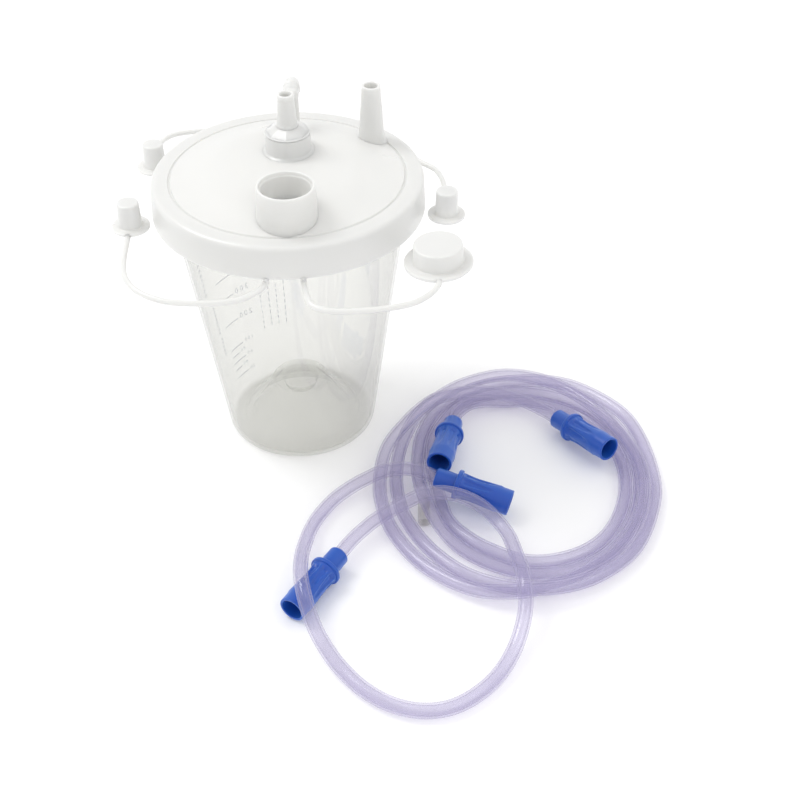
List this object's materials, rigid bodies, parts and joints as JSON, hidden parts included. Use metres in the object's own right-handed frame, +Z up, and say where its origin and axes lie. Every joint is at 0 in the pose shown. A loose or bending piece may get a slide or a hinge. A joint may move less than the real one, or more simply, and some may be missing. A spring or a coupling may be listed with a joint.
{
  "type": "suction canister kit",
  "caption": "Clear tapered suction canister with a white ported lid, tethered port caps, float shut-off valve, and coiled suction tubing with blue connectors.",
  "frame": {"origin": "on the standing surface, under the middle of the box round the canister with its lid, straps and caps", "axes": "+Z up along the jar's axis, -Y towards the pour spout and the viewer, +X towards the coiled tubing"},
  "size_m": [0.2666, 0.2838, 0.1806],
  "materials": {
    "clear_ps": "clear polished moulding",
    "white_pe": "satin white moulding, slightly translucent",
    "grey_rubber": "matt seal",
    "clear_tubing": "clear flexible tubing with a lavender tint",
    "blue_plastic": "soft glossy blue moulding",
    "milky_plastic": "milky translucent moulding"
  },
  "bodies": {
    "jar": {"canister_jar": "clear_ps"},
    "lid": {"lid": "white_pe", "vacuum_spigot": "white_pe", "valve_seat": "grey_rubber", "float_cage": "white_pe"},
    "float": {"shutoff_float": "white_pe"},
    "front_left": {"front_left_strap": "white_pe", "front_left_cap": "white_pe"},
    "front_right": {"front_right_strap": "white_pe", "pour_spout_cap": "white_pe"},
    "rear_left": {"rear_left_strap": "white_pe", "rear_left_cap": "white_pe"},
    "rear_right": {"rear_right_strap": "white_pe", "rear_right_cap": "white_pe"},
    "adapter": {"tubing_adapter": "milky_plastic"},
    "long_tubing": {"long_tube": "clear_tubing", "long_tube_connector_outer": "blue_plastic", "long_tube_connector_inner": "blue_plastic"},
    "short_tubing": {"short_tube": "clear_tubing", "short_tube_connector_rear": "blue_plastic", "short_tube_connector_front": "blue_plastic"}
  },
  "joints": [
    {"name": "lid_lift", "type": "slide", "parent": "jar", "child": "lid", "axis": [0, 0, 1], "range_m": [0, 0.12]},
    {"name": "float_rise", "type": "slide", "parent": "lid", "child": "float", "axis": [0, 0, 1], "range_m": [0, 0.0084]},
    {"name": "front_left_swing", "type": "hinge", "parent": "lid", "child": "front_left", "pos_m": [-0.0085, -0.06191, 0.128], "axis": [0, 0, 1], "range_deg": [0, 45], "stiffness_Nm_per_rad": 0.01},
    {"name": "front_right_swing", "type": "hinge", "parent": "lid", "child": "front_right", "pos_m": [0.0082, -0.06141, 0.128], "axis": [0, 0, -1], "range_deg": [0, 45], "stiffness_Nm_per_rad": 0.01},
    {"name": "rear_left_swing", "type": "hinge", "parent": "lid", "child": "rear_left", "pos_m": [-0.0085, 0.06589, 0.128], "axis": [0, 0, -1], "range_deg": [0, 45], "stiffness_Nm_per_rad": 0.01},
    {"name": "rear_right_swing", "type": "hinge", "parent": "lid", "child": "rear_right", "pos_m": [0.0082, 0.06539, 0.128], "axis": [0, 0, 1], "range_deg": [0, 45], "stiffness_Nm_per_rad": 0.01},
    {"name": "tubing_adapter_lift", "type": "slide", "parent": "jar", "child": "adapter", "axis": [0, 0, 1], "range_m": [0, 0.02]},
    {"name": "long_tube_lift", "type": "slide", "parent": "adapter", "child": "long_tubing", "axis": [0, 0, 1], "range_m": [0, 0.03]},
    {"name": "short_tube_lift", "type": "slide", "parent": "long_tubing", "child": "short_tubing", "axis": [0, 0, 1], "range_m": [0, 0.04]}
  ]
}
